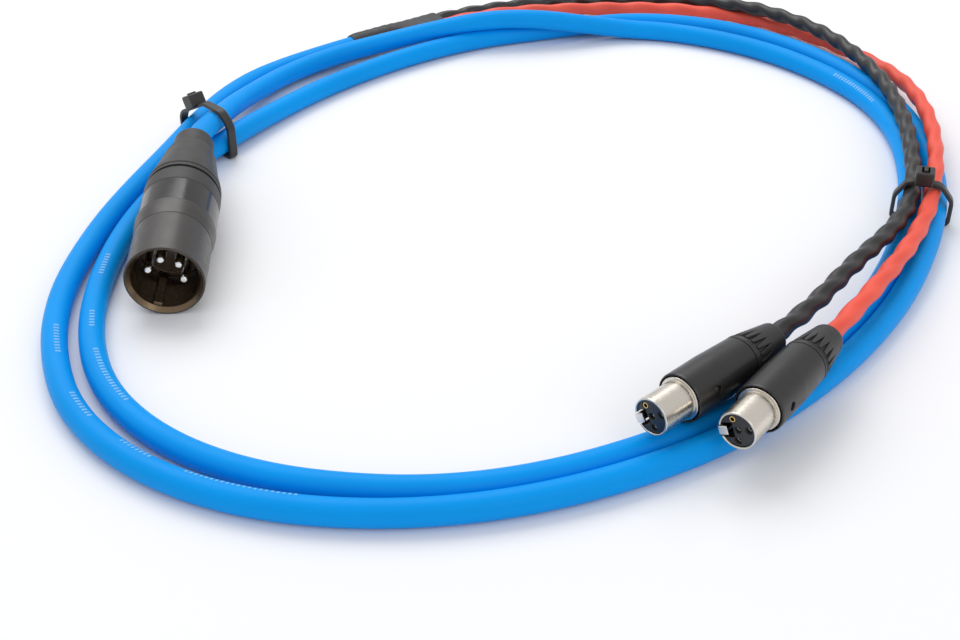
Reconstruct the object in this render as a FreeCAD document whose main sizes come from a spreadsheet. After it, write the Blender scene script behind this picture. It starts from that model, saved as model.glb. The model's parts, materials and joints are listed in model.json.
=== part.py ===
import FreeCAD, Part
import math
import os
import re

# Y-type headphone cable, coiled in two turns: a 4-pin XLR male plug, 6 mm blue cable,
# a heat-shrink split, two sleeved legs, two 4-pin mini-XLR female plugs and two zip ties.
# Row frame: +Z up from the floor, +X to the right, +Y away from the viewer, millimetres.

doc = FreeCAD.newDocument("cable_coil")
V = FreeCAD.Vector
sheet = doc.addObject("Spreadsheet::Sheet", "Sheet")

sizes = {
    # blue cable and its coil
    "cable_radius": 3.0,
    "channel_gap": 0.15,
    "loop_half_long": 128.7,
    "loop_half_short": 93.0,
    "ring_inside_long": 3.2,
    "ring_inside_short": 4.2,
    "ring_outside_long": 10.6,
    "ring_outside_short": 10.2,
    "ring_outer_shift": -1.2,
    "ring_outer_lift": 0.8,
    "ring_height": 6.0,
    "ring_rounding": 2.4,
    # legs and split
    "leg_radius": 2.1,
    "sleeve_radius": 3.7,
    "sleeve_length": 21.0,
    "neck_radius": 2.6,
    "neck_spread": 2.25,
    "neck_length": 13.0,
    # zip ties
    "strap_thickness": 1.0,
    "strap_width": 2.5,
    "strap_gap": 0.05,
    "head_along_cable": 4.8,
    "head_along_strap": 4.8,
    "head_height": 3.3,
    "stub_height": 0.5,
    # 4-pin XLR male plug
    "xlr_radius": 9.5,
    "xlr_step_radius": 10.1,
    "xlr_cup_radius": 8.1,
    "xlr_cup_depth": 14.0,
    "xlr_shell_length": 21.4,
    "xlr_tail_radius": 8.7,
    "xlr_tail_end": 31.0,
    "xlr_insert_end": 27.0,
    "xlr_boss_radius": 6.3,
    "xlr_boss_height": 1.3,
    "xlr_pin_radius": 1.2,
    "xlr_shank_radius": 1.6,
    "xlr_pin_circle": 4.3,
    "xlr_pin_start": 2.5,
    "xlr_pin_end": 30.5,
    "xlr_bushing_radius": 9.75,
    "xlr_bushing_end": 37.8,
    "xlr_boot_radius": 9.5,
    "xlr_boot_shoulder": 59.0,
    "xlr_boot_shoulder_radius": 6.8,
    "xlr_boot_neck_radius": 5.5,
    "xlr_length": 69.0,
    # 4-pin mini-XLR female plugs
    "nose_radius": 4.25,
    "nose_wall": 0.5,
    "nose_end": 20.0,
    "flange_start": 8.8,
    "flange_radius": 4.9,
    "mouth_radius": 5.2,
    "barrel_radius": 5.6,
    "barrel_rear_radius": 5.25,
    "barrel_start": 9.0,
    "barrel_end": 28.6,
    "barrel_bore": 4.3,
    "insert_radius": 3.7,
    "insert_end": 17.0,
    "contact_radius": 0.68,
    "contact_bore": 0.45,
    "contact_circle": 2.55,
    "contact_angle": 76.0,
    "socket_radius": 0.7,
    "latch_half_width": 1.0,
    "slot_half_width": 1.3,
    "keyway_floor": 0.95,
    "keyway_half_width": 1.7,
    "latch_end": 25.0,
    "hook_height": 4.3,
    "button_half_width": 1.5,
    "button_start": 11.8,
    "button_end": 15.6,
    "button_height": 6.3,
    "button_gap": 0.35,
    "mini_boot_start": 28.7,
    "mini_boot_end": 41.0,
    "mini_boot_radius": 5.1,
    "mini_boot_end_radius": 3.3,
}
for row, (name, value) in enumerate(sizes.items(), 1):
    sheet.set(f"A{row}", name)
    sheet.set(f"B{row}", str(value))
    sheet.setAlias(f"B{row}", name)
doc.recompute()

SHIFT = V(-14.0, -60.6, 0)
LOOP_CENTRE = V(13.9, 52.4, 0) + SHIFT
LOOP_TURN = 55.3
START = 95.0
nodes = []


def link(expression):
    """Spreadsheet names in an expression become references to the sheet."""
    return re.sub(r"[a-z]+_[a-z_]+", lambda m: "Sheet." + m.group(0), str(expression))


def bind(item, **properties):
    for name, expression in properties.items():
        item.setExpression(name, link(expression))


def base(item, x=0, y=0, z=0):
    item.setExpression("Placement.Base.x", link(x))
    item.setExpression("Placement.Base.y", link(y))
    item.setExpression("Placement.Base.z", link(z))


def cylinder(name, radius, start, end, x=0, y=0):
    item = doc.addObject("Part::Cylinder", name)
    bind(item, Radius=radius, Height=f"({end}) - ({start})")
    base(item, x, y, start)
    return item


def cone(name, first, last, start, end):
    item = doc.addObject("Part::Cone", name)
    bind(item, Radius1=first, Radius2=last, Height=f"({end}) - ({start})")
    base(item, 0, 0, start)
    return item


def sphere(name, radius, x, y, z):
    item = doc.addObject("Part::Sphere", name)
    bind(item, Radius=radius)
    base(item, x, y, z)
    return item


def block(name, x, y, z):
    """A box from three (low, high) pairs of expressions."""
    item = doc.addObject("Part::Box", name)
    sides = {"Length": x, "Width": y, "Height": z}
    bind(item, **{side: f"({high}) - ({low})" for side, (low, high) in sides.items()})
    base(item, x[0], y[0], z[0])
    return item


def radial(name, radius, start, end, angle, z):
    """A cylinder that points straight out from the plug's axis."""
    item = doc.addObject("Part::Cylinder", name)
    bind(item, Radius=radius, Height=f"({end}) - ({start})")
    turn = FreeCAD.Rotation(V(0, 0, 1), angle).multiply(FreeCAD.Rotation(V(0, 1, 0), 90))
    item.Placement = FreeCAD.Placement(V(), turn)
    base(item, f"({start}) * cos({angle} deg)", f"({start}) * sin({angle} deg)", z)
    return item


def fuse(name, *parts):
    item = doc.addObject("Part::MultiFuse", name)
    item.Shapes = list(parts)
    return item


def cut(name, whole, *tools):
    item = doc.addObject("Part::Cut", name)
    item.Base = whole
    item.Tool = tools[0] if len(tools) == 1 else fuse(name + "_tools", *tools)
    return item


def node(label, item, frame=None):
    item.Label = label
    if frame:
        item.Placement = frame
    nodes.append(item)
    return item


def plug_frame(front, plan, tilt, key):
    """Local +Z runs from the plug's front face to its cable; local +X points at its key.

    plan is the axis's angle from +Y towards +X, tilt its rise, key the clock angle of the
    key seen from the front (0 is right, 90 is up). All in degrees.
    """
    p, t, k = (math.radians(a) for a in (plan, tilt, key))
    along = V(math.sin(p) * math.cos(t), math.cos(p) * math.cos(t), math.sin(t))
    right = along.cross(V(0, 0, 1)).normalize()
    up = right.cross(along)
    x = right * math.cos(k) + up * math.sin(k)
    return FreeCAD.Placement(front + SHIFT, FreeCAD.Rotation(x, along.cross(x), along, "ZXY"))


def lane(w, offset, z):
    """A point beside the loop's oval: w degrees clockwise from the left tie."""
    a = math.radians(START - w)
    long, short = sizes["loop_half_long"], sizes["loop_half_short"]
    normal = V(short * math.cos(a), long * math.sin(a), 0).normalize()
    local = V(long * math.cos(a), short * math.sin(a), z) + normal * offset
    return LOOP_CENTRE + FreeCAD.Rotation(V(0, 0, 1), LOOP_TURN).multVec(local)


def lane_frame(w):
    """Local +X points out of the loop, +Y along the cable, +Z up, at the oval itself."""
    out = (lane(w, 1, 0) - lane(w, 0, 0)).normalize()
    return FreeCAD.Placement(lane(w, 0, 0), FreeCAD.Rotation(out, V(0, 0, 1).cross(out), V(0, 0, 1), "ZXY"))


def route(name, points):
    """Straight runs joined by tangent arcs."""
    edges = []
    last = points[0]
    for before, corner, after in zip(points, points[1:], points[2:]):
        back, ahead = before - corner, after - corner
        turn = math.pi - back.getAngle(ahead)
        reach = 0.45 * min(back.Length, ahead.Length)
        first = corner + back.normalize() * reach
        end = corner + ahead.normalize() * reach
        radius = reach / math.tan(turn / 2)
        inward = (back + ahead).normalize()
        centre = corner + inward * (radius / math.cos(turn / 2))
        middle = centre - inward * radius
        edges.append(Part.makeLine(last, first))
        edges.append(Part.Arc(first, middle, end).toShape())
        last = end
    edges.append(Part.makeLine(last, points[-1]))
    item = doc.addObject("Part::Feature", name + "_route")
    item.Shape = Part.Wire(edges)
    return item


def cord(name, points, radius):
    """A round cord swept along its route."""
    spine = route(name, points)
    ring = doc.addObject("Part::Circle", name + "_section")
    bind(ring, Radius=radius)
    ring.Placement = FreeCAD.Placement(points[0], FreeCAD.Rotation(V(0, 0, 1), points[1] - points[0]))
    item = doc.addObject("Part::Sweep", name + "_tube")
    item.Sections = [ring]
    item.Spine = (spine, [f"Edge{n + 1}" for n in range(len(spine.Shape.Edges))])
    item.Solid = True
    item.Frenet = False
    return item


def oval(name, long, short, shift=0, lift=0):
    outline = doc.addObject("Part::Ellipse", name)
    bind(outline, MajorRadius=long, MinorRadius=short)
    base(outline, shift, lift)
    solid = doc.addObject("Part::Extrusion", name + "_solid")
    solid.Base = outline
    solid.DirMode = "Custom"
    solid.Dir = V(0, 0, 1)
    bind(solid, LengthFwd="ring_height")
    solid.Solid = True
    return solid


# ---- blue cable: the coil, the lead from the XLR plug and the tail to the split ----
XLR = plug_frame(V(-73.8, 1.9, 9.53), -3.0, 2.6, 250)
SPLIT_START = V(-41.5, 153.4, 3.75) + SHIFT
SPLIT_WAY = (V(-17.7, 170.7, 3.75) + SHIFT - SPLIT_START).normalize()

lead_points = [
    XLR.multVec(V(0, 0, 47)),
    XLR.multVec(V(0, 0, 69)),
    lane(0.5, 6.0, 7.0),
    lane(12, 11.0, 4.2),
    lane(24, 8.5, 3.4),
]
tail_points = [
    lane(-8, 10.2, 3.9),
    lane(1, 14.4, 4.4),
    lane(11, 19.0, 3.8),
    SPLIT_START - SPLIT_WAY * 11,
    SPLIT_START + SPLIT_WAY * 12,
]
lead = cord("lead", lead_points, "cable_radius")
tail = cord("tail", tail_points, "cable_radius")
lead_channel = cord("lead_channel", lead_points, "cable_radius + channel_gap")
tail_channel = cord("tail_channel", tail_points, "cable_radius + channel_gap")

outer = oval(
    "ring_outer",
    "loop_half_long + ring_outside_long",
    "loop_half_short + ring_outside_short",
    "ring_outer_shift",
    "ring_outer_lift",
)
inner = oval("ring_inner", "loop_half_long - ring_inside_long", "loop_half_short - ring_inside_short")
ring = cut("ring_sharp", outer, inner)
doc.recompute()
rounded = doc.addObject("Part::Fillet", "ring_rounded")
rounded.Base = ring
rims = [
    n + 1
    for n, edge in enumerate(ring.Shape.Edges)
    if edge.BoundBox.ZLength < 0.01 and edge.Length > 100
]
rounded.Edges = [(n, sizes["ring_rounding"], sizes["ring_rounding"]) for n in rims]
rounded.Placement = FreeCAD.Placement(LOOP_CENTRE, FreeCAD.Rotation(V(0, 0, 1), LOOP_TURN))

TIE_LEFT = lane_frame(-5).multiply(FreeCAD.Placement(V(), FreeCAD.Rotation(V(0, 0, 1), -18)))
TIE_RIGHT = lane_frame(161)


def strap_groove(name, frame):
    """The cable rides over the strap, so the coil's underside is relieved there."""
    item = doc.addObject("Part::Box", name)
    bind(item, Length=30, Width="strap_width + 0.6", Height="1 + strap_thickness + 2 * strap_gap")
    corner = V(-12, -(sizes["strap_width"] + 0.6) / 2, -1)
    item.Placement = frame.multiply(FreeCAD.Placement(corner, FreeCAD.Rotation()))
    return item


grooved = cut(
    "ring_grooved",
    rounded,
    strap_groove("groove_left", TIE_LEFT),
    strap_groove("groove_right", TIE_RIGHT),
)
coil = cut("coil", grooved, lead_channel, tail_channel)
node("cable_coil", coil)
node("cable_lead", lead)
node("cable_tail", tail)

# ---- heat-shrink split: local +Z runs from the blue cable to the legs ----
side = SPLIT_WAY.cross(V(0, 0, 1)).normalize() * -1
SPLIT = FreeCAD.Placement(SPLIT_START, FreeCAD.Rotation(side, SPLIT_WAY.cross(side), SPLIT_WAY, "ZXY"))
neck_end = "sleeve_length + neck_length"
leg_bore = ("leg_radius + 0.02", "sleeve_length + 4", f"{neck_end} + 1")
split = cut(
    "split",
    fuse(
        "split_body",
        cylinder("sleeve_main", "sleeve_radius", 0, "sleeve_length"),
        cylinder("neck_out", "neck_radius", "sleeve_length - 4", neck_end, "neck_spread"),
        cylinder("neck_in", "neck_radius", "sleeve_length - 4", neck_end, "-1 * neck_spread"),
        block(
            "neck_web",
            ("-1 * neck_spread", "neck_spread"),
            ("-1 * neck_radius", "neck_radius"),
            ("sleeve_length - 4", neck_end),
        ),
    ),
    cylinder("split_cable_bore", "cable_radius + 0.02", -1, 12.1),
    cylinder("split_leg_bore_out", *leg_bore, "neck_spread"),
    cylinder("split_leg_bore_in", *leg_bore, "-1 * neck_spread"),
)
node("split_sleeve", split, SPLIT)

# ---- the two legs ----
MINI_LEFT = plug_frame(V(34.3, -52.7, 11.9), 46.3, 0, 212)
MINI_RIGHT = plug_frame(V(51.0, -57.2, 11.9), 37.3, 0, 202)


def leg(name, spread, middle, plug):
    inside = [SPLIT.multVec(V(spread, 0, z)) for z in (sizes["sleeve_length"] + 4.1, 50)]
    way = [V(*p) + SHIFT for p in middle]
    last = [plug.multVec(V(0, 0, z)) for z in (50, 27)]
    return inside + way + last


black_way = [
    (38, 196.5, 3.2),
    (66, 194, 5.0),
    (89, 181.5, 7.6),
    (104, 166, 8.6),
    (114, 148, 8.4),
    (121, 123, 8.3),
    (122.2, 98, 8.3),
    (118.8, 71, 8.3),
    (112.4, 44, 8.3),
    (102, 25.5, 9.4),
    (88.5, 7.5, 11.4),
]
red_way = [
    (38, 187.5, 2.6),
    (68, 184, 2.5),
    (92, 177, 2.5),
    (110, 163.5, 2.6),
    (123.5, 143.5, 3.4),
    (129, 121, 6.4),
    (129.6, 98, 8.0),
    (126.0, 73, 8.3),
    (118.0, 46, 8.3),
    (110, 28.5, 8.4),
    (100.5, 11.0, 10.4),
]
black_points = leg("black", sizes["neck_spread"], black_way, MINI_LEFT)
red_points = leg("red", -sizes["neck_spread"], red_way, MINI_RIGHT)
leg_black = cord("black", black_points, "leg_radius")
leg_red = cord("red", red_points, "leg_radius")
node("leg_black", leg_black)
node("leg_red", leg_red)


# ---- zip ties: local +X out of the loop, +Y along the cable, +Z up ----
def outline(name, corners):
    """A closed line in the local XZ plane through (x, z, radius) corners, rounded by arcs."""
    edges = []
    last = None
    count = len(corners)
    for n, (x, z, radius) in enumerate(corners):
        corner = V(x, 0, z)
        before = V(corners[n - 1][0], 0, corners[n - 1][1]) - corner
        following = corners[(n + 1) % count]
        after = V(following[0], 0, following[1]) - corner
        half = before.getAngle(after) / 2
        reach = radius / math.tan(half)
        first = corner + before.normalize() * reach
        end = corner + after.normalize() * reach
        inward = (before + after).normalize()
        middle = corner + inward * (radius / math.sin(half) - radius)
        if last:
            edges.append(Part.makeLine(last, first))
        else:
            start = first
        edges.append(Part.Arc(first, middle, end).toShape())
        last = end
    edges.append(Part.makeLine(last, start))
    item = doc.addObject("Part::Feature", name)
    item.Shape = Part.Wire(edges)
    return item


def band(name, line, width):
    item = doc.addObject("Part::Extrusion", name)
    item.Base = line
    item.DirMode = "Custom"
    item.Dir = V(0, 1, 0)
    item.Symmetric = True
    item.Solid = True
    bind(item, LengthFwd=width)
    return item


def tie(label, frame, corners, head_x, head_z, lean):
    """A strap pulled round the cables, and its head, which sits on the strap's outside."""
    inside = outline(label + "_inside", corners)
    outside = doc.addObject("Part::Offset2D", label + "_outside")
    outside.Source = inside
    bind(outside, Value="strap_thickness")
    strap = cut(
        label + "_strap",
        band(label + "_strap_whole", outside, "strap_width"),
        band(label + "_strap_opening", inside, "strap_width + 2"),
    )
    across = ("-0.5 * head_along_strap", "0.5 * head_along_strap")
    along = ("-0.5 * head_along_cable", "0.5 * head_along_cable")
    box = block(label + "_box", across, along, ("-0.6 * strap_thickness", "head_height"))
    window = block(label + "_window", (-1.1, 1.1), (-1.6, 1.6), ("head_height - 1.4", "head_height + 1"))
    stub = block(
        label + "_stub",
        ("-0.5 * strap_thickness", "0.5 * strap_thickness"),
        ("-0.5 * strap_width", "0.5 * strap_width"),
        ("head_height - 1.6", "head_height + stub_height"),
    )
    head = fuse(label + "_head", cut(label + "_box_open", box, window), stub)
    head.Placement = FreeCAD.Placement(V(head_x, 0, head_z), FreeCAD.Rotation(V(0, 1, 0), lean))
    node(label, fuse(label + "_body", strap, head), frame)


UNDER = sizes["strap_gap"] + sizes["strap_thickness"]
left_corners = [
    (-5.6, UNDER, 0.8),
    (-5.6, 10.2, 4.0),
    (-2.0, 13.0, 3.0),
    (5.0, 13.0, 3.0),
    (17.0, 6.5, 3.2),
    (17.0, UNDER, 0.8),
]
right_corners = [
    (-4.7, UNDER, 0.8),
    (-4.7, 7.0, 3.0),
    (-2.2, 11.0, 1.8),
    (6.0, 11.0, 2.0),
    (10.4, 6.8, 3.0),
    (10.4, UNDER, 0.8),
]
tie("tie_left", TIE_LEFT, left_corners, 10.3, 11.25, 28.4)
tie("tie_right", TIE_RIGHT, right_corners, 1.5, 11.9, 0)

# ---- 4-pin XLR male plug ----
shell_body = fuse(
    "xlr_shell_body",
    cylinder("xlr_front", "xlr_radius", 0, 15.5),
    cone("xlr_flare", "xlr_radius", "xlr_step_radius", 15.5, 19.5),
    cylinder("xlr_step", "xlr_step_radius", 19.5, "xlr_shell_length"),
    cylinder("xlr_tail", "xlr_tail_radius", 21.3, "xlr_tail_end"),
)
shell_tube = cut("xlr_shell_tube", shell_body, cylinder("xlr_bore", "xlr_cup_radius", -1, "xlr_tail_end + 1"))
shell = fuse(
    "xlr_shell_keyed",
    shell_tube,
    block(
        "xlr_key",
        ("xlr_cup_radius - 0.9", "xlr_cup_radius + 0.4"),
        (-1.1, 1.1),
        (0.8, "xlr_cup_depth - 0.1"),
    ),
)
node("xlr_shell", shell, XLR)

pin_angles = (90, 150, 210, 270)


def pin_place(angle):
    return f"xlr_pin_circle * cos({angle} deg)", f"xlr_pin_circle * sin({angle} deg)"


insert_body = fuse(
    "xlr_insert_body",
    cylinder("xlr_insert_disc", "xlr_cup_radius - 0.02", "xlr_cup_depth", "xlr_insert_end"),
    cylinder("xlr_insert_boss", "xlr_boss_radius", "xlr_cup_depth - xlr_boss_height", "xlr_cup_depth + 1"),
)
holes = [
    cylinder(f"xlr_hole_{angle}", "xlr_shank_radius + 0.02", 10, 28, *pin_place(angle))
    for angle in pin_angles
]
node("xlr_insert", cut("xlr_insert_cut", insert_body, *holes), XLR)
for number, angle in enumerate(pin_angles, 1):
    x, y = pin_place(angle)
    tip = "xlr_pin_start + xlr_pin_radius"
    rod = fuse(
        f"xlr_pin_rod_{number}",
        cylinder(f"xlr_pin_shaft_{number}", "xlr_pin_radius", tip, "xlr_pin_end", x, y),
        cylinder(f"xlr_pin_shank_{number}", "xlr_shank_radius", "xlr_cup_depth - 1.2", "xlr_pin_end", x, y),
        sphere(f"xlr_pin_tip_{number}", "xlr_pin_radius", x, y, tip),
    )
    cup = cylinder(f"xlr_pin_cup_{number}", 0.8, "xlr_pin_end - 3", "xlr_pin_end + 1", x, y)
    node(f"xlr_pin_{number}", cut(f"xlr_pin_cut_{number}", rod, cup), XLR)

bushing = cut(
    "xlr_bushing_cut",
    fuse(
        "xlr_bushing_body",
        cylinder("xlr_bushing_front", "xlr_bushing_radius", 21.5, 36.8),
        cylinder("xlr_bushing_rear", 9.2, 36.7, "xlr_bushing_end"),
    ),
    cylinder("xlr_bushing_thread", "xlr_tail_radius + 0.05", 20, 31.5),
    cylinder("xlr_bushing_bore", 8.2, 31, 39),
)
node("xlr_bushing", bushing, XLR)
chuck = cut(
    "xlr_chuck_cut",
    fuse(
        "xlr_chuck_body",
        cylinder("xlr_chuck_ring", 8.15, 31.6, 37.9),
        cone("xlr_chuck_cone", 7.9, 5.3, 37.9, 53),
    ),
    cylinder("xlr_chuck_bore", "cable_radius + 0.02", 30, 54),
    block("xlr_chuck_split", (-10, 10), (-0.5, 0.5), (30, 46)),
)
node("xlr_chuck", chuck, XLR)
boot = cut(
    "xlr_boot_cut",
    fuse(
        "xlr_boot_body",
        cylinder("xlr_boot_ring", 9.6, 37.9, 39.6),
        cone("xlr_boot_cone", "xlr_boot_radius", "xlr_boot_shoulder_radius", 39.6, "xlr_boot_shoulder"),
        cylinder("xlr_boot_neck", "xlr_boot_neck_radius", "xlr_boot_shoulder", "xlr_length - 1.2"),
        cone(
            "xlr_boot_lip",
            "xlr_boot_neck_radius",
            "xlr_boot_neck_radius - 0.9",
            "xlr_length - 1.2",
            "xlr_length",
        ),
    ),
    cone("xlr_boot_seat", 8.2, 5.45, 37.8, 53.2),
    cylinder("xlr_boot_bore", "cable_radius + 0.3", 50, 60),
    cone("xlr_boot_mouth", "cable_radius + 0.3", "cable_radius + 1.5", 59.5, 70),
)
node("xlr_boot", boot, XLR)


# ---- 4-pin mini-XLR female plugs ----
def mini(side, frame, screw_angle, screw_z):
    def part(label, item):
        return node(f"{side}_{label}", item, frame)

    n = side + "_"
    slot = ("-1 * slot_half_width", "slot_half_width")
    keyway = ("-1 * keyway_half_width", "keyway_half_width")
    wide = ("-1 * latch_half_width", "latch_half_width")
    button = ("-1 * button_half_width", "button_half_width")

    def window(name):
        """The opening that the latch's button moves in."""
        return block(
            name,
            (3, 8),
            ("-1 * button_half_width - button_gap", "button_half_width + button_gap"),
            ("button_start - button_gap", "button_end + button_gap"),
        )

    nose = cut(
        n + "nose_cut",
        fuse(
            n + "nose_body",
            cylinder(n + "nose_tube", "nose_radius", 0, "nose_end"),
            cylinder(n + "nose_flange", "flange_radius", "flange_start", "barrel_start + 1.4"),
        ),
        cylinder(n + "nose_bore", "nose_radius - nose_wall", -1, "nose_end + 1"),
        block(n + "nose_slot", (2, 6), slot, (-1, "nose_end + 1")),
        window(n + "nose_window"),
    )
    part("nose", nose)
    places = [
        ("0", "0"),
        ("contact_circle * cos(contact_angle * 1 deg)", "contact_circle * sin(contact_angle * 1 deg)"),
        ("contact_circle * cos(contact_angle * 1 deg)", "-1 * contact_circle * sin(contact_angle * 1 deg)"),
        ("-1 * contact_circle", "0"),
    ]
    insert = cut(
        n + "insert_cut",
        cylinder(n + "insert_body", "insert_radius", 0.35, "insert_end"),
        block(n + "insert_keyway", ("keyway_floor", 5), keyway, (-1, "insert_end + 1")),
        *[cylinder(f"{n}socket_{k}", "socket_radius", -1, 20, *p) for k, p in enumerate(places)],
    )
    part("insert", insert)
    for number, place in enumerate(places, 1):
        start = "0.4" if number == 2 else "1.3"
        contact = cut(
            f"{n}contact_cut_{number}",
            cylinder(f"{n}contact_body_{number}", "contact_radius", start, "nose_end", *place),
            cylinder(f"{n}contact_bore_{number}", "contact_bore", "0", "8", *place),
            cylinder(f"{n}contact_cup_{number}", "contact_bore", "nose_end - 2.5", "nose_end + 1", *place),
        )
        part(f"contact_{number}", contact)
    barrel = cut(
        n + "barrel_cut",
        fuse(
            n + "barrel_body",
            cone(
                n + "barrel_chamfer",
                "barrel_radius - 0.2",
                "barrel_radius",
                "barrel_start",
                "barrel_start + 0.5",
            ),
            cylinder(n + "barrel_front", "barrel_radius", "barrel_start + 0.5", 19),
            cone(n + "barrel_rear", "barrel_radius", "barrel_rear_radius", 19, "barrel_end"),
        ),
        cylinder(n + "barrel_mouth", "mouth_radius", "barrel_start - 1", "barrel_start + 1.5"),
        cylinder(n + "barrel_bore", "barrel_bore", 8, 30),
        window(n + "barrel_window"),
        radial(n + "barrel_screw_hole", 0.95, 4.75, 7, screw_angle, screw_z),
        radial(n + "barrel_screw_thread", 0.5, 4.0, 7, screw_angle, screw_z),
    )
    part("barrel", barrel)
    screw = fuse(
        n + "screw_body",
        radial(n + "screw_head", 0.7, 4.8, 5.25, screw_angle, screw_z),
        radial(n + "screw_shank", 0.46, 4.45, 4.9, screw_angle, screw_z),
    )
    part("screw", screw)
    latch = fuse(
        n + "latch_body",
        block(n + "latch_strip", (3.6, 4.05), wide, (0, "latch_end")),
        block(n + "latch_tab", (2.2, "hook_height"), wide, (0, 0.55)),
        block(n + "latch_hook", (4.0, "hook_height"), wide, (1.5, 3.2)),
        block(n + "latch_post", (3.8, 4.6), wide, ("button_start", "button_end")),
        block(n + "latch_button", (4.5, "button_height"), button, ("button_start", "button_end")),
    )
    part("latch", latch)
    clamp = cut(
        n + "clamp_cut",
        cylinder(n + "clamp_body", "barrel_bore - 0.05", 25.4, 30.6),
        cylinder(n + "clamp_bore", "leg_radius + 0.02", 25, 31),
    )
    part("clamp", clamp)
    slope = math.degrees(math.atan2(
        sizes["mini_boot_radius"] - sizes["mini_boot_end_radius"], sizes["mini_boot_end"] - 30.4
    ))
    flutes = []
    for k in range(16):
        flute = doc.addObject("Part::Cone", f"{n}flute_{k}")
        bind(flute, Radius1=0.62, Radius2=0.05, Height=5.6)
        turn = FreeCAD.Rotation(V(0, 0, 1), 22.5 * k)
        lean = turn.multiply(FreeCAD.Rotation(V(0, 1, 0), -slope))
        flute.Placement = FreeCAD.Placement(turn.multVec(V(5.2, 0, 30.7)), lean)
        flutes.append(flute)
    boot = cut(
        n + "boot_cut",
        fuse(
            n + "boot_body",
            cylinder(n + "boot_ring", "barrel_rear_radius", "mini_boot_start", 30.2),
            cylinder(n + "boot_neck", 4.95, 30.1, 30.5),
            cone(
                n + "boot_cone",
                "mini_boot_radius",
                "mini_boot_end_radius + 0.4",
                30.4,
                "mini_boot_end - 0.8",
            ),
            cone(
                n + "boot_lip",
                "mini_boot_end_radius + 0.4",
                "mini_boot_end_radius - 0.4",
                "mini_boot_end - 0.8",
                "mini_boot_end",
            ),
        ),
        cylinder(n + "boot_seat", "barrel_bore", 28, 30.7),
        cylinder(n + "boot_bore", "leg_radius + 0.3", 30, 42),
        *flutes,
    )
    part("boot", boot)


mini("left", MINI_LEFT, -168, 15.0)
mini("right", MINI_RIGHT, -166, 13.2)

# ---- checks and export ----
doc.recompute()
for item in doc.Objects:
    if "Invalid" in item.State or "Error" in item.State:
        raise RuntimeError(f"{item.Name} did not compute: {item.State}")
os.makedirs("parts", exist_ok=True)
for item in nodes:
    shape = item.Shape
    if shape.isNull() or not shape.isValid() or len(shape.Solids) != 1:
        raise RuntimeError(f"{item.Label} is not one valid solid ({len(shape.Solids)} solids)")
    shape.exportStep(f"parts/{item.Label}.step")

for label, tube, points, radius in (
    ("cable_lead", lead, lead_points, sizes["cable_radius"]),
    ("cable_tail", tail, tail_points, sizes["cable_radius"]),
    ("leg_black", leg_black, black_points, sizes["leg_radius"]),
    ("leg_red", leg_red, red_points, sizes["leg_radius"]),
):
    length = tube.Spine[0].Shape.Length
    ratio = tube.Shape.Volume / (math.pi * radius**2 * length)
    arcs = [e.Curve.Radius for e in tube.Spine[0].Shape.Edges if hasattr(e.Curve, "Radius")]
    print(f"{label}: length {length:.1f} mm, volume / (section x length) {ratio:.3f}")
    print(f"    bend radii {[round(r) for r in arcs]}")
    print(f"    runs {[round((b - a).Length) for a, b in zip(points, points[1:])]}")
box = Part.makeCompound([item.Shape for item in nodes]).optimalBoundingBox()
print(f"{len(nodes)} nodes, x {box.XMin:.2f} to {box.XMax:.2f}, y {box.YMin:.2f} to {box.YMax:.2f}")
print(f"z {box.ZMin:.2f} to {box.ZMax:.2f}")
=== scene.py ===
import json
import math

import bmesh
import bpy
from mathutils import Matrix, Vector


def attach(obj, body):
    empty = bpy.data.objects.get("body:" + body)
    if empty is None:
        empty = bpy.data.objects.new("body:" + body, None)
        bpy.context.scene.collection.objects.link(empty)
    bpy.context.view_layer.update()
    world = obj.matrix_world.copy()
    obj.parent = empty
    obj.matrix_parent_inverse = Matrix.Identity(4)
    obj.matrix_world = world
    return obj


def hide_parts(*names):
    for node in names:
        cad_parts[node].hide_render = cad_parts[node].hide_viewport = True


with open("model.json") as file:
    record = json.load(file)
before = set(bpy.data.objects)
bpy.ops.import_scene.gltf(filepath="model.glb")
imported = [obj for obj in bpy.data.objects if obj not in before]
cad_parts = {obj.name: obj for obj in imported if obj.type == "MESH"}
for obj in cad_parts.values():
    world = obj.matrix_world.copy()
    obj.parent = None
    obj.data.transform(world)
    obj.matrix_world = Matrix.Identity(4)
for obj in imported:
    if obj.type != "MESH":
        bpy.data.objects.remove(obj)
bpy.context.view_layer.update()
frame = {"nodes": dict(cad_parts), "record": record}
record = frame["record"]
mounts = {m["name"]: m for m in record["mounts"]}
joints = {j["name"]: j for j in record["behaviour"]["joints"]}
MM = 0.001
UP = Vector((0, 0, 1))
STILL = Matrix.Identity(4)
scene = bpy.context.scene

# ---- places: everything below is in millimetres, and meshes are scaled to metres when made ----
SHIFT = Vector((-14.0, -60.6, 0.0))  # from the origin that the points below are given from to the frame's origin
LOOP_CENTRE = Vector((13.9, 52.4, 0.0)) + SHIFT
LOOP_LONG = 128.7  # half the oval's length
LOOP_SHORT = 93.0  # half its width
LOOP_TURN = math.radians(55.3)  # the oval's long axis, from +X
START = 95.0  # the oval's own angle at w = 0
BLUE_STEP = 8  # degrees from one point of the blue cable to the next
NURBS_PULL = 0.4  # an order 3 spline with points that far apart runs this far inside them

# the blue cable, the legs and the split
BLUE_RADIUS = 3.0
LEG_RADIUS = 2.1
LEG_SPREAD = 2.25  # each leg's distance from the split's middle line
LEG_START = 25.1  # the legs' hidden ends, from the split's start
SPLIT_LENGTH = 34.0

# the XLR plug, from its front face
XLR_PIN_MIDDLE = 8.25  # the middle of a pin's bare length, where its mount is
XLR_PIN_CIRCLE = 4.3
XLR_BOOT_END = 65.0

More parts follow.
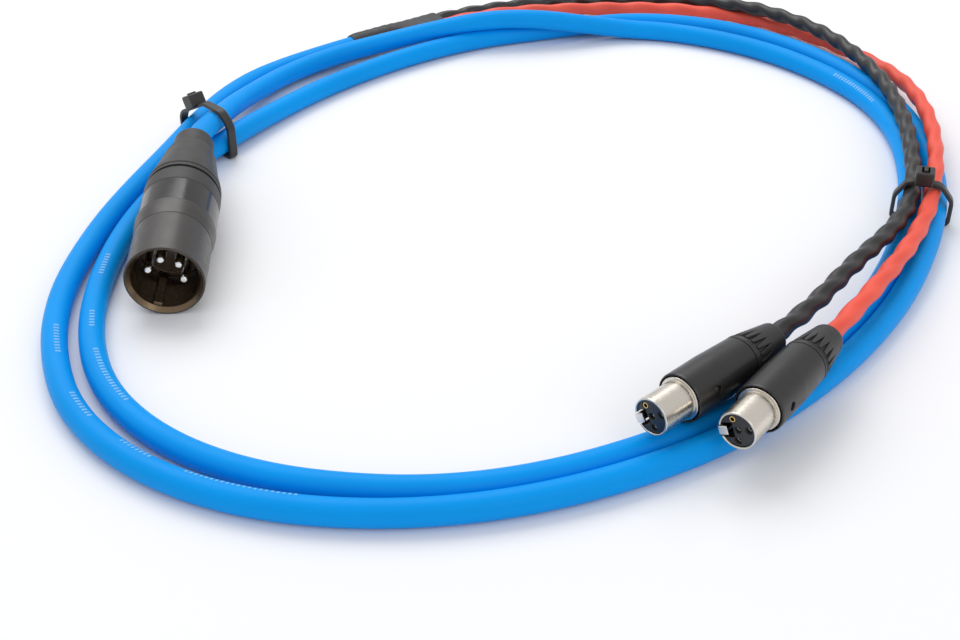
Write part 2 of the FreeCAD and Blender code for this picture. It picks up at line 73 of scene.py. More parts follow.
# the mini-XLR plugs, from their front faces
MINI_CONTACT_CIRCLE = 2.55
MINI_WINDOW_WIDE = (-1.85, 1.85)
MINI_WINDOW_LONG = (11.45, 15.95)
MINI_BOOT_END = 41.0


def lane(w, offset, z):
    """A point beside the loop's oval, w degrees clockwise from near the left tie."""
    a = math.radians(START - w)
    normal = Vector((LOOP_SHORT * math.cos(a), LOOP_LONG * math.sin(a), 0)).normalized()
    local = Vector((LOOP_LONG * math.cos(a), LOOP_SHORT * math.sin(a), z)) + normal * offset
    return LOOP_CENTRE + Matrix.Rotation(LOOP_TURN, 3, "Z") @ local


def axes(origin, x, y, z):
    """A placement in millimetres from its origin and its three directions."""
    turn = Matrix((x, y, z)).transposed().to_4x4()
    return Matrix.Translation(origin) @ turn


def lane_frame(w):
    """Local +X points out of the loop, +Y along the cable, +Z up, at the oval itself."""
    out = (lane(w, 1, 0) - lane(w, 0, 0)).normalized()
    return axes(lane(w, 0, 0), out, UP.cross(out), UP)


def mount_point(name):
    """Where a mount is, in millimetres."""
    return Vector(mounts[name]["pos_m"]) / MM


def xlr_frame():
    """Local +Z runs from the plug's front face to its cable, and +X points at its key."""
    z = -Vector(mounts["xlr_pin_1"]["axis"]).normalized()
    first, last = mount_point("xlr_pin_1"), mount_point("xlr_pin_4")
    y = (first - last).normalized()
    return axes((first + last) / 2 - z * XLR_PIN_MIDDLE, y.cross(z), y, z)


def mini_frame(side):
    """Local +Z runs from the plug's front face to its cable, and +X points at its latch."""
    mount = mounts[f"{side}_mini_nose"]
    z = -Vector(mount["axis"]).normalized()
    y = Vector(joints[f"{side}_latch_press"]["axis"]).normalized()
    origin = mount_point(f"{side}_mini_nose") - z * mount["dims"]["length_mm"] / 2
    return axes(origin, y.cross(z), y, z)


XLR = xlr_frame()
MINI = {"left": mini_frame("left"), "right": mini_frame("right")}
SPLIT_START = Vector((-41.5, 153.4, 3.75)) + SHIFT
SPLIT_WAY = (Vector((-17.7, 170.7, 3.75)) + SHIFT - SPLIT_START).normalized()
SPLIT_SIDE = SPLIT_WAY.cross(UP).normalized() * -1
SPLIT = axes(SPLIT_START, SPLIT_SIDE, SPLIT_WAY.cross(SPLIT_SIDE), SPLIT_WAY)
TIE_LEFT = lane_frame(-5) @ Matrix.Rotation(math.radians(-18), 4, "Z")
TIE_RIGHT = lane_frame(161)


# ---- mesh helpers ----
def smooth(t):
    """Runs from 0 to 1 with no corner at either end."""
    t = min(1, max(0, t))
    return t * t * (3 - 2 * t)


def quarter_round(z, end, radius):
    """Runs from 0 to 1 over the last radius before the end, along a quarter of a circle."""
    return 1 - math.sqrt(max(0, 1 - max(0, (z - end + radius) / radius) ** 2))


def polar(radius, degrees):
    """A 2D point from its distance and its direction."""
    angle = math.radians(degrees)
    return radius * math.cos(angle), radius * math.sin(angle)


def finish_piece(piece, body, material, replaced=()):
    """Gives a piece its one material, its body and the CAD nodes that it stands in for."""
    piece.data.materials.clear()
    piece.data.materials.append(material)
    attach(piece, body)
    if replaced:
        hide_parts(*replaced)


def mesh_object(name, points, faces, place=STILL, sharp=38):
    """A mesh object from points in millimetres, local to place."""
    mesh = bpy.data.meshes.new(name)
    mesh.from_pydata([tuple((place @ Vector(p)) * MM) for p in points], [], faces)
    mesh.update()
    piece = bpy.data.objects.new(name, mesh)
    scene.collection.objects.link(piece)
    tidy(piece, sharp)
    return piece


def tidy(piece, sharp=38):
    """Merges doubled points, turns faces outwards and shades smooth apart from sharp edges."""
    edit = bmesh.new()
    edit.from_mesh(piece.data)
    bmesh.ops.remove_doubles(edit, verts=edit.verts, dist=1e-6)
    bmesh.ops.dissolve_degenerate(edit, edges=edit.edges, dist=1e-7)
    bmesh.ops.recalc_face_normals(edit, faces=edit.faces)
    edit.to_mesh(piece.data)
    edit.free()
    piece.data.shade_smooth()
    piece.data.set_sharp_from_angle(angle=math.radians(sharp))


def weighted(piece):
    """Lets the large faces rule the shading, so that rounded edges stay crisp."""
    modifier = piece.modifiers.new("weighted", "WEIGHTED_NORMAL")
    modifier.keep_sharp = True
    modifier.weight = 60


def soften(corners, steps=5):
    """A closed 2D line through (x, y, radius) corners, each rounded by an arc."""
    line = []
    count = len(corners)
    for n, (x, y, radius) in enumerate(corners):
        corner = Vector((x, y))
        if radius <= 0:
            line.append(corner)
            continue
        back = Vector(corners[n - 1][:2]) - corner
        ahead = Vector(corners[(n + 1) % count][:2]) - corner
        half = back.angle(ahead) / 2
        reach = radius / math.tan(half)
        first = corner + back.normalized() * reach
        last = corner + ahead.normalized() * reach
        inward = (back.normalized() + ahead.normalized()).normalized()
        centre = corner + inward * (radius / math.sin(half))
        sweep = (first - centre).angle_signed(last - centre)
        arm = first - centre
        for k in range(steps + 1):
            turn = -sweep * k / steps
            line.append(centre + Vector((
                arm.x * math.cos(turn) - arm.y * math.sin(turn),
                arm.x * math.sin(turn) + arm.y * math.cos(turn),
            )))
    return line


def grid_faces(rings, count, closed_rings=False):
    """Quads between neighbouring rings of count points each."""
    faces = []
    for i in range(rings if closed_rings else rings - 1):
        j = (i + 1) % rings
        for k in range(count):
            m = (k + 1) % count
            faces.append((i * count + k, i * count + m, j * count + m, j * count + k))
    return faces


def turn_angles(count):
    """Equal steps once round, in radians."""
    return [2 * math.pi * k / count for k in range(count)]


def ring(radius, z, around, middle=(0, 0)):
    """Points at height z round the middle; radius is a function of the angle."""
    points = []
    for angle in turn_angles(around):
        r = radius(angle)
        points.append((middle[0] + r * math.cos(angle), middle[1] + r * math.sin(angle), z))
    return points


def stack(name, rings, place=STILL, sharp=38):
    """A solid through rings of points, with a flat face at each end."""
    around = len(rings[0])
    last = (len(rings) - 1) * around
    faces = grid_faces(len(rings), around)
    faces.append(tuple(range(around)))
    faces.append(tuple(range(last, last + around)))
    return mesh_object(name, [point for points in rings for point in points], faces, place, sharp)


def lathe(name, corners, place, segments=96, steps=5):
    """A closed (r, z, rounding) outline turned round local Z."""
    outline = soften(corners, steps)
    points = []
    for angle in turn_angles(segments):
        for p in outline:
            points.append((max(p.x, 0) * math.cos(angle), max(p.x, 0) * math.sin(angle), p.y))
    return mesh_object(name, points, grid_faces(segments, len(outline), True), place)


def rounded_box(name, x, y, z, rounding, place):
    """A box from its three ranges, with every edge rounded."""
    corners = [(a, b, c) for a in x for b in y for c in z]
    faces = [(0, 1, 3, 2), (4, 6, 7, 5), (0, 4, 5, 1), (2, 3, 7, 6), (0, 2, 6, 4), (1, 5, 7, 3)]
    piece = mesh_object(name, corners, faces, place)
    bevel_edges(piece, rounding)
    return piece


def bevel_edges(piece, rounding, angle=30):
    """Rounds every edge sharper than the angle."""
    edit = bmesh.new()
    edit.from_mesh(piece.data)
    between = [edge for edge in edit.edges if len(edge.link_faces) == 2]
    sharp = [edge for edge in between if edge.calc_face_angle() > math.radians(angle)]
    bmesh.ops.bevel(
        edit, geom=sharp, offset=rounding * MM, segments=3, profile=0.5, affect="EDGES",
        clamp_overlap=True,
    )
    edit.to_mesh(piece.data)
    edit.free()
    tidy(piece)


def baked(piece):
    """Puts the result of the piece's modifiers into its mesh."""
    graph = bpy.context.evaluated_depsgraph_get()
    mesh = bpy.data.meshes.new_from_object(piece.evaluated_get(graph))
    piece.modifiers.clear()
    piece.data = mesh


def combine(piece, tool, operation):
    """Cuts the tool from the piece or joins it on, and removes the tool."""
    modifier = piece.modifiers.new("combine", "BOOLEAN")
    modifier.operation = operation
    modifier.solver = "EXACT"
    modifier.object = tool
    baked(piece)
    bpy.data.objects.remove(tool)
    tidy(piece)


def carve(piece, *tools):
    """Cuts each tool from the piece."""
    for tool in tools:
        combine(piece, tool, "DIFFERENCE")


def weld(piece, *others):
    """Makes the piece and the others one solid."""
    for other in others:
        combine(piece, other, "UNION")


def drill(name, place, outline, x=0, y=0):
    """A turned cutter from (r, z) pairs, standing at x, y in the plug's own frame."""
    corners = [(0, outline[0][1], 0)] + [(r, z, 0) for r, z in outline] + [(0, outline[-1][1], 0)]
    return lathe(name, corners, place @ Matrix.Translation((x, y, 0)), 32)


def radial_place(place, angle, z):
    """Local +Z points straight out from the plug's axis, at the angle and height."""
    turn = Matrix.Rotation(math.radians(angle), 4, "Z") @ Matrix.Rotation(math.radians(90), 4, "Y")
    return place @ Matrix.Translation((0, 0, z)) @ turn


SPLINE_STEPS = 8  # straight steps from one spline point to the next


def spline_object(name, points, radius=0.0):
    """One open NURBS spline of order 3 through its first and last points, in millimetres."""
    curve = bpy.data.curves.new(name, "CURVE")
    curve.dimensions = "3D"
    spline = curve.splines.new("NURBS")
    spline.points.add(len(points) - 1)
    for target, point in zip(spline.points, points):
        target.co = (*(point * MM), 1)
    spline.order_u = 3
    spline.use_endpoint_u = True
    spline.resolution_u = SPLINE_STEPS
    curve.resolution_u = SPLINE_STEPS
    curve.render_resolution_u = SPLINE_STEPS
    curve.bevel_depth = radius * MM
    curve.bevel_resolution = 10
    curve.use_fill_caps = radius > 0
    curve.use_radius = False
    piece = bpy.data.objects.new(name, curve)
    scene.collection.objects.link(piece)
    return piece


def line_of(points):
    """The smooth line that a cord's points make, in millimetres."""
    holder = spline_object("line", points)
    graph = bpy.context.evaluated_depsgraph_get()
    graph.update()
    mesh = bpy.data.meshes.new_from_object(holder.evaluated_get(graph))
    line = [v.co / MM for v in mesh.vertices]
    bpy.data.meshes.remove(mesh)
    bpy.data.objects.remove(holder)
    return line


def length_of(line):
    """The line's length along itself."""
    return sum((b - a).length for a, b in zip(line, line[1:]))


def resample(line, step):
    """Points along the line at equal distances of about one step."""
    marks = [0.0]
    for a, b in zip(line, line[1:]):
        marks.append(marks[-1] + (b - a).length)
    count = max(2, round(marks[-1] / step))
    result = []
    i = 0
    for k in range(count + 1):
        want = marks[-1] * k / count
        while i < len(line) - 2 and marks[i + 1] < want:
            i += 1
        gap = marks[i + 1] - marks[i]
        share = min(1, (want - marks[i]) / gap) if gap else 0
        result.append(line[i].lerp(line[i + 1], share))
    return result


def carried_axes(line):
    """Two directions across the line, carried along it without twist, and its own, at each point."""
    ways = [(b - a).normalized() for a, b in zip(line, line[1:])]
    ways.append(ways[-1])
    side = ways[0].cross(UP).normalized()
    result = []
    for way in ways:
        side = (side - way * side.dot(way)).normalized()
        result.append((side, way.cross(side), way))
    return result


def tube(name, line, section, around):
    """A capped tube along a line; section(distance, angle) gives its radius."""
    rings = []
    distance = 0
    before = line[0]
    for point, (side, up, _) in zip(line, carried_axes(line)):
        distance += (point - before).length
        before = point
        points = []
        for angle in turn_angles(around):
            r = section(distance, angle)
            points.append(point + side * (r * math.cos(angle)) + up * (r * math.sin(angle)))
        rings.append(points)
    return stack(name, rings)


# ---- materials: noise scales are per metre ----
NOISE_SPAN = (0.3, 0.7)  # nearly all of a noise texture's values lie between these
GRAIN_DEPTH = 0.0002  # metres
COAT_ROUGHNESS = 0.2


def make_material(name, colour, roughness, metallic=0.0, specular=0.5, coat=0.0, tint=0.06,
                  tint_scale=60.0, smudge=0.06, smudge_scale=240.0, grain=0.04, grain_scale=2500.0):
    """A principled material with colour drift, uneven roughness and fine surface grain."""
    material = bpy.data.materials.new(name)
    material.use_nodes = True
    tree = material.node_tree
    shader = tree.nodes["Principled BSDF"]
    shader.inputs["Metallic"].default_value = metallic
    shader.inputs["Specular IOR Level"].default_value = specular
    shader.inputs["Coat Weight"].default_value = coat
    shader.inputs["Coat Roughness"].default_value = COAT_ROUGHNESS
    where = tree.nodes.new("ShaderNodeTexCoord")

    def noise_node(scale, detail):
        """A noise texture in the piece's own coordinates."""
        node = tree.nodes.new("ShaderNodeTexNoise")
        node.inputs["Scale"].default_value = scale
        node.inputs["Detail"].default_value = detail
        tree.links.new(where.outputs["Object"], node.inputs["Vector"])
        return node

    drift = noise_node(tint_scale, 3)
    ramp = tree.nodes.new("ShaderNodeValToRGB")
    dark, bright = ramp.color_ramp.elements
    dark.position, bright.position = NOISE_SPAN
    dark.color = (*[c * (1 - tint) for c in colour], 1)
    bright.color = (*[min(1, c * (1 + tint)) for c in colour], 1)
    tree.links.new(drift.outputs["Fac"], ramp.inputs["Fac"])
    tree.links.new(ramp.outputs["Color"], shader.inputs["Base Color"])

    rub = noise_node(smudge_scale, 4)
    span = tree.nodes.new("ShaderNodeMapRange")
    span.inputs["From Min"].default_value, span.inputs["From Max"].default_value = NOISE_SPAN
    span.inputs["To Min"].default_value = max(0.02, roughness - smudge)
    span.inputs["To Max"].default_value = roughness + smudge
    tree.links.new(rub.outputs["Fac"], span.inputs["Value"])
    tree.links.new(span.outputs["Result"], shader.inputs["Roughness"])

    fine = noise_node(grain_scale, 2)
    bump = tree.nodes.new("ShaderNodeBump")
    bump.inputs["Strength"].default_value = grain
    bump.inputs["Distance"].default_value = GRAIN_DEPTH
    tree.links.new(fine.outputs["Fac"], bump.inputs["Height"])
    tree.links.new(bump.outputs["Normal"], shader.inputs["Normal"])
    return material


BLUE = make_material("blue_pvc", (0.0, 0.30, 0.80), 0.46, specular=0.1, tint=0.05, tint_scale=35,
                     smudge=0.05, smudge_scale=90, grain=0.05, grain_scale=1800)
BLACK_SLEEVE = make_material("black_sleeve", (0.015, 0.014, 0.0135), 0.42, specular=0.5, tint=0.15,
                             smudge=0.08, grain=0.12, grain_scale=1500)
RED_SLEEVE = make_material("red_sleeve", (0.80, 0.085, 0.048), 0.46, specular=0.4, tint=0.06,
                           smudge=0.06, grain=0.12, grain_scale=1500)
SHRINK = make_material("shrink_tube", (0.028, 0.028, 0.03), 0.5, specular=0.45, tint=0.15, grain=0.15,
                       grain_scale=1200)
NYLON = make_material("tie_nylon", (0.024, 0.021, 0.019), 0.42, specular=0.5, tint=0.2, grain=0.12,
                      grain_scale=2200)
SHELL = make_material("black_shell", (0.043, 0.0385, 0.035), 0.36, metallic=0.25, specular=0.6,
                      tint=0.08, smudge=0.05, smudge_scale=400, grain=0.1, grain_scale=5000)
BARREL = make_material("mini_barrel_black", (0.018, 0.0165, 0.0155), 0.34, metallic=0.2, specular=0.6,
                       tint=0.08, smudge=0.05, smudge_scale=400, grain=0.12, grain_scale=6000)
NICKEL = make_material("nickel_shell", (0.70, 0.65, 0.57), 0.28, metallic=1.0, tint=0.04, smudge=0.05,
                       smudge_scale=900, grain=0.012, grain_scale=7000)
LATCH = make_material("nickel_latch", (0.74, 0.71, 0.66), 0.22, metallic=1.0, tint=0.04, smudge=0.06,
                      smudge_scale=900, grain=0.06, grain_scale=4000)
SILVER = make_material("contact_silver", (0.86, 0.84, 0.8), 0.16, metallic=1.0, tint=0.03, smudge=0.05,
                       grain=0.03)
GOLD = make_material("contact_gold", (0.86, 0.58, 0.22), 0.2, metallic=1.0, tint=0.04, smudge=0.05,
                     grain=0.03)
INSULATOR = make_material("black_insulator", (0.017, 0.017, 0.018), 0.4, specular=0.5, tint=0.12,
                          grain=0.12, grain_scale=4000)
XLR_INSERT = make_material("xlr_insulator", (0.026, 0.018, 0.012), 0.18, specular=0.8, coat=0.8,
                           tint=0.12, grain=0.03)
# brown metal for the cup's wall, its mouth's chamfer, its key and the ring at the boss: painted
# reflection, standing in for the brown light reflected inside the cup
CUP_REFLECTION_BROWN = make_material("xlr_cup", (0.17, 0.118, 0.068), 0.28, metallic=0.85, specular=0.6, tint=0.1,
                    smudge=0.05, grain=0.04, grain_scale=3500)
BUSHING = make_material("black_bushing", (0.012, 0.011, 0.011), 0.2, specular=0.5, tint=0.1, smudge=0.04,
                        grain=0.03)
RUBBER = make_material("rubber_boot", (0.033, 0.031, 0.0295), 0.5, specular=0.45, tint=0.1, smudge=0.06,
                       grain=0.18, grain_scale=3500)
MINI_RUBBER = make_material("mini_rubber", (0.021, 0.0198, 0.019), 0.44, specular=0.45, tint=0.1,
                            smudge=0.06, grain=0.15, grain_scale=4500)
STEEL = make_material("steel_screw", (0.09, 0.085, 0.08), 0.22, metallic=0.6, specular=0.6, tint=0.06,
                      grain=0.04)
INK = make_material("print_ink", (0.16, 0.46, 0.83), 0.5, specular=0.3, tint=0.08, tint_scale=900,
                    grain=0.05)

# ---- blue cable: the lead, two turns and the tail to the split ----
# Each mark: degrees along the loop, millimetres out from the oval, height of the middle line.
LANE_MARKS = [
    (5.6, 9.3, 5.2), (9.7, 11.8, 4.1), (13.5, 13.5, 3.9), (16.8, 13.6, 4.2), (19.5, 13.0, 4.7),
    (22.2, 11.9, 5.0), (25.2, 10.7, 5.2), (30, 8.5, 5.7), (36, 5.9, 6.7), (41, 3.9, 8.0),
    (46, 0.5, 9.2), (51, -2.6, 9.2), (55.5, -4.4, 8.5), (60, -4.7, 6.9), (64.5, -4.2, 4.9),
    (69, -3.2, 3.6), (75, -2.3, 3.0), (82, -3.0, 3.0), (90, -3.4, 3.0), (96, -3.6, 3.0),
    (102, -3.2, 3.0), (108, -2.8, 3.0), (114, -2.0, 3.0), (120, -1.0, 3.0), (126, 0.0, 3.0),
    (132, 0.4, 3.0), (138, 0.2, 3.0),
    (144, -0.2, 3.1), (150, -0.9, 3.4), (161, -1.3, 4.1), (175, -1.0, 3.4), (190, -0.7, 3.0),
    (204, -0.4, 3.0), (216, -0.4, 3.0), (222, -0.85, 3.0), (234, -0.95, 3.0), (246, -1.5, 3.0),
    (252, -1.9, 3.0), (258, -1.8, 3.0), (270, -1.0, 3.0), (282, 0.1, 3.0), (292, 0.9, 3.0),
    (300, 0.8, 3.0), (306, 0.4, 3.0), (312, 0.1, 3.0), (318, -0.25, 3.0), (324, -0.35, 3.0),
    (336, -0.1, 3.0), (348, -0.8, 3.3), (354, -1.6, 3.8), (358, -2.4, 4.1), (364, -1.9, 3.4),
    (371, -1.1, 3.0), (381, -0.7, 3.0), (391, -0.1, 3.0), (399, 0.3, 3.0), (407, 0.2, 3.0),
    (411, -0.3, 3.0), (415.5, -0.4, 3.0), (420, 0.5, 3.0), (424, 2.1, 3.0), (429, 3.8, 3.0),
    (434, 4.6, 3.0), (440, 5.4, 3.0), (452, 5.5, 3.0), (462, 5.1, 3.0), (474, 5.2, 3.0),
    (486, 6.2, 3.0), (498, 6.4, 3.0), (510, 5.8, 3.4), (521, 5.4, 4.1), (530, 5.0, 3.7),
    (540, 5.1, 3.0), (564, 5.5, 3.0), (576, 5.7, 3.0), (582, 5.3, 3.0), (593, 5.1, 3.0),
    (600, 5.2, 3.0), (610, 5.4, 3.0),
    (620, 6.35, 3.0), (630, 7.6, 3.0), (640, 8.8, 3.0), (652, 9.7, 3.0), (660, 9.1, 3.0),
    (666, 8.75, 3.0), (674, 8.4, 3.0), (682, 7.3, 3.0), (690, 6.75, 3.0), (698, 6.85, 3.0),
    (703, 7.2, 3.0), (708, 8.2, 3.1), (713, 9.3, 3.6), (717, 11.3, 4.2), (720, 13.6, 4.5),
    (724, 15.7, 4.4), (729.4, 18.3, 3.6), (733, 19.8, 3.2), (737, 20.3, 3.2), (741, 19.6, 3.4),
]


def follow(marks, step):
    """Points of the lane every step degrees, on a smooth curve through the marks."""
    result = []
    w = marks[0][0]
    while w <= marks[-1][0]:
        i = max(k for k in range(len(marks) - 1) if marks[k][0] <= w)
        before, a = marks[max(i - 1, 0)], marks[i]
        b, after = marks[i + 1], marks[min(i + 2, len(marks) - 1)]
        t = (w - a[0]) / (b[0] - a[0])
        values = []
        for n in (1, 2):
            slope_a = (b[n] - before[n]) / max(b[0] - before[0], 1) * (b[0] - a[0])
            slope_b = (after[n] - a[n]) / max(after[0] - a[0], 1) * (b[0] - a[0])
            values.append(
                (2 * t**3 - 3 * t**2 + 1) * a[n] + (t**3 - 2 * t**2 + t) * slope_a
                + (3 * t**2 - 2 * t**3) * b[n] + (t**3 - t**2) * slope_b
            )
        result.append(lane(w, values[0] + NURBS_PULL, max(values[1], BLUE_RADIUS)))
        w += step
    return result


# the lead starts inside the boot and runs down to the first mark, and the tail ends in the split
lead = [XLR @ Vector((0, 0, z)) for z in (47, 58, 69)]
lead += [lane(-2.5, 3.6, 8.2), lane(1, 6.3, 6.9)]
tail = [SPLIT_START - SPLIT_WAY * 4, SPLIT_START + SPLIT_WAY * 12]
blue_points = lead + follow(LANE_MARKS, BLUE_STEP) + tail
blue_line = line_of(blue_points)
blue = spline_object("blue_cable", blue_points, BLUE_RADIUS)
finish_piece(blue, "cable", BLUE, ["cable_coil", "cable_lead", "cable_tail"])

# ---- the two legs: twisted pairs under a smooth sleeve ----
LEG_STEP = 0.45
LOBE_FADE = 12  # a leg's lobes grow over its first stretch, and are gone this far before its end
black_way = [
    (38, 196.4, 2.6), (66, 195.3, 3.3), (89, 180.7, 6.9), (104, 165.4, 7.8), (114, 148, 8.3),
    (121, 123, 8.3), (122.2, 98, 8.3), (118.8, 71, 8.3), (112.4, 44, 8.3), (102, 25.5, 9.4),
    (88.5, 7.5, 11.4),
]
red_way = [
    (38, 188.6, 2.5), (67, 188.6, 2.5), (91.5, 180.3, 2.5), (109.5, 165, 2.6), (123.5, 143.5, 3.4),
    (129, 121, 6.4), (129.6, 98, 8.0), (126.0, 73, 8.3), (118.0, 46, 8.3), (110, 28.5, 8.4),
    (100.5, 11.0, 10.4),
]


def leg(name, spread, middle, side, material, pitch, lobe):
    """A leg whose two wires show through its sleeve as two lobes that wind round it."""
    way = [SPLIT @ Vector((spread, 0, z)) for z in (LEG_START, 50)]
    way += [Vector(p) + SHIFT for p in middle]
    way += [MINI[side] @ Vector((0, 0, z)) for z in (50, 27)]
    line = resample(line_of(way), LEG_STEP)
    total = length_of(line)

    def section(distance, angle):
        fade = min(1, distance / LOBE_FADE, max(0, total - distance - LOBE_FADE) / 6)
        twist = 2 * math.pi * distance / pitch
        return LEG_RADIUS + lobe * fade * (math.cos(2 * angle - twist) - 0.25)

    piece = tube(name, line, section, 40)
    finish_piece(piece, "cable", material, [name])
    return piece, line, total


black_leg, black_line, black_length = leg(
    "leg_black", LEG_SPREAD, black_way, "left", BLACK_SLEEVE, 9.5, 0.27
)
red_leg, red_line, red_length = leg(
    "leg_red", -LEG_SPREAD, red_way, "right", RED_SLEEVE, 12.5, 0.2
)
black_leg.name = "black_leg"
red_leg.name = "red_leg"


# ---- heat-shrink split: round over the cable, then a double neck over the legs ----
SPLIT_RADIUS = 3.7
NECK_START, NECK_FADE = 13, 10  # where the round sleeve starts to flatten, and over how much
SPLIT_STEP = 0.5


def split_section(z, angle):
    """The sleeve's radius; it shrinks from a circle to a flattened double tube."""
    t = smooth((z - NECK_START) / NECK_FADE)
    wide, flat = SPLIT_RADIUS + 1.15 * t, SPLIT_RADIUS - 1.1 * t
    power = 2 + 0.7 * t
    c, s = abs(math.cos(angle)), abs(math.sin(angle))
    lip = 0.35 * (1 - min(1, max(0, z) / 2.5)) ** 2
    ripple = 0.06 * math.sin(z * 1.9 + 2 * math.sin(angle)) * min(1, z / 8)
    return ((c / wide) ** power + (s / flat) ** power) ** (-1 / power) + ripple - lip


def split_tube():
    """The heat-shrink sleeve, along the split's own Z."""
    count = round(SPLIT_LENGTH / SPLIT_STEP)
    heights = [SPLIT_STEP * k for k in range(count + 1)]
    rings = [ring(lambda angle: split_section(z, angle), z, 64) for z in heights]
    return stack("split_tube", rings, SPLIT, 60)


split = split_tube()
finish_piece(split, "cable", SHRINK, ["split_sleeve"])


# ---- zip ties ----
STRAP_THICK = 1.0
STRAP_WIDE = 2.5
UNDER = 1.05  # the strap's inner face under the cables; its outer face is just above the floor


def strap(name, place, corners):
    """A closed band round the cables, with its inner face through the corners."""
    inner = soften(corners, 10)
    count = len(inner)
    edge = STRAP_WIDE / 2
    section = soften([
        (0, -edge, 0.12), (STRAP_THICK, -edge, 0.3), (STRAP_THICK, edge, 0.3), (0, edge, 0.12),
    ], 3)
    middle = sum(inner, Vector((0, 0))) / count
    points = []
    for n, point in enumerate(inner):
        along = (inner[(n + 1) % count] - inner[n - 1]).normalized()
        normal = Vector((along.y, -along.x))
        if normal.dot(point - middle) < 0:
            normal = -normal
        for depth, across in section:
            spot = point + normal * depth
            points.append((spot.x, across, spot.y))
    return mesh_object(name, points, grid_faces(count, len(section), True), place)


def tie(side, place, corners, head_x, head_z, lean):
    """A strap, its head with the window that the strap runs through, and the cut end in it."""
    band = strap(f"tie_{side}_strap", place, corners)
    turn = Matrix.Rotation(math.radians(lean), 4, "Y")
    at = place @ Matrix.Translation((head_x, 0, head_z)) @ turn
    head = rounded_box(f"tie_{side}_head", (-2.4, 2.4), (-2.4, 2.4), (-0.6, 3.3), 0.55, at)
    carve(head, rounded_box("window", (-1.0, 1.0), (-1.6, 1.6), (1.9, 4), 0.15, at))
    bevel_edges(head, 0.14, 60)
    stub = rounded_box(f"tie_{side}_cut_tail", (-0.5, 0.5), (-1.25, 1.25), (1.4, 3.75), 0.12, at)
    for piece in (band, head, stub):
        finish_piece(piece, "cable", NYLON, [f"tie_{side}"])
        weighted(piece)


left_corners = [
    (-5.6, UNDER, 0.8), (-5.6, 10.2, 4.0), (-2.0, 13.0, 3.0), (5.0, 13.0, 3.0), (17.0, 6.5, 3.2),
    (17.0, UNDER, 0.8),
]
right_corners = [
    (-4.7, UNDER, 0.8), (-4.7, 7.0, 3.0), (-2.2, 11.0, 1.8), (5.6, 11.0, 2.6), (8.8, 7.0, 2.6),
    (8.8, UNDER, 0.8),
]
tie("left", TIE_LEFT, left_corners, 10.3, 11.25, 28.4)
tie("right", TIE_RIGHT, right_corners, 1.5, 11.9, 0)


# ---- 4-pin XLR male plug ----
def plug_piece(piece, material, node):
    """Finishes a piece of the XLR plug."""
    finish_piece(piece, "cable", material, [node])
    weighted(piece)


shell = lathe("xlr_shell_body", [
    (8.2, 1.3, 0.1), (9.1, 0.1, 0.05), (9.25, 0, 0.05), (9.5, 0.2, 0.2), (9.5, 15.2, 0.4),
    (9.44, 15.4, 0.1), (9.44, 15.6, 0.1), (9.54, 15.8, 0.3), (9.9, 18.8, 4.0), (10.05, 21.4, 0.3),
    (8.7, 21.4, 0.1), (8.7, 31, 0.2), (8.15, 31, 0.2),
], XLR, 128)
plug_piece(shell, SHELL, "xlr_shell")
# the cup's wall and its mouth's chamfer take the brown metal: painted reflection
liner = lathe("xlr_cup_wall", [
    (8.1, 1.2, 0.4), (9.04, 0.02, 0.05), (9.1, 0.08, 0), (8.18, 1.3, 0), (8.18, 14.0, 0),
    (8.1, 14.0, 0),
], XLR, 128)
plug_piece(liner, CUP_REFLECTION_BROWN, "xlr_shell")
key = rounded_box("xlr_key", (7.2, 8.14), (-1.1, 1.1), (1.2, 13.9), 0.25, XLR)
plug_piece(key, CUP_REFLECTION_BROWN, "xlr_shell")

pin_places = [polar(XLR_PIN_CIRCLE, angle) for angle in (90, 150, 210, 270)]
insert = lathe("xlr_insert_body", [
    (0, 12.7, 0), (6.3, 12.7, 0.35), (6.3, 14.0, 0.2), (8.08, 14.0, 0.2), (8.08, 27, 0.2), (0, 27, 0),
], XLR, 128)
pin_hole = [(2.0, 12.0), (1.95, 12.75), (1.62, 13.0), (1.62, 28)]
for x, y in pin_places:
    carve(insert, drill("hole", XLR, pin_hole, x, y))
plug_piece(insert, XLR_INSERT, "xlr_insert")
# a thin ring of the brown metal round the boss's front edge: a painted highlight along that edge
highlight_ring = lathe("xlr_insert_highlight_ring", [
    (5.95, 12.5, 0.1), (6.3, 12.5, 0.15), (6.3, 12.75, 0), (5.95, 12.75, 0),
], XLR, 128)
plug_piece(highlight_ring, CUP_REFLECTION_BROWN, "xlr_insert")
for number, (x, y) in enumerate(pin_places, 1):
    pin = lathe(f"xlr_contact_{number}", [
        (0, 2.5, 0), (0.75, 2.5, 0.45), (1.2, 3.5, 1.2), (1.2, 12.8, 0.1), (1.6, 12.8, 0.1),
        (1.6, 30.5, 0.1), (0.8, 30.5, 0.1), (0.8, 27.5, 0.1), (0, 27.5, 0),
    ], XLR @ Matrix.Translation((x, y, 0)), 40)
    plug_piece(pin, SILVER, f"xlr_pin_{number}")

band = lathe("xlr_colour_ring", [
    (8.8, 21.5, 0.1), (9.75, 21.5, 0.25), (9.75, 31.2, 0.25), (8.8, 31.2, 0.1),
], XLR, 128)
plug_piece(band, BUSHING, "xlr_bushing")
collar = lathe("xlr_bushing_collar", [
    (8.75, 31.25, 0.1), (9.72, 31.25, 0.3), (9.72, 36.7, 0.5), (9.2, 37.1, 0.1), (9.2, 37.85, 0.1),
    (8.2, 37.85, 0.1), (8.2, 31.6, 0.1), (8.75, 31.6, 0.1),
], XLR, 128)
plug_piece(collar, RUBBER, "xlr_bushing")


CABLE_IN_BOOT = 80  # the first points of the cable's line, to well past the boot


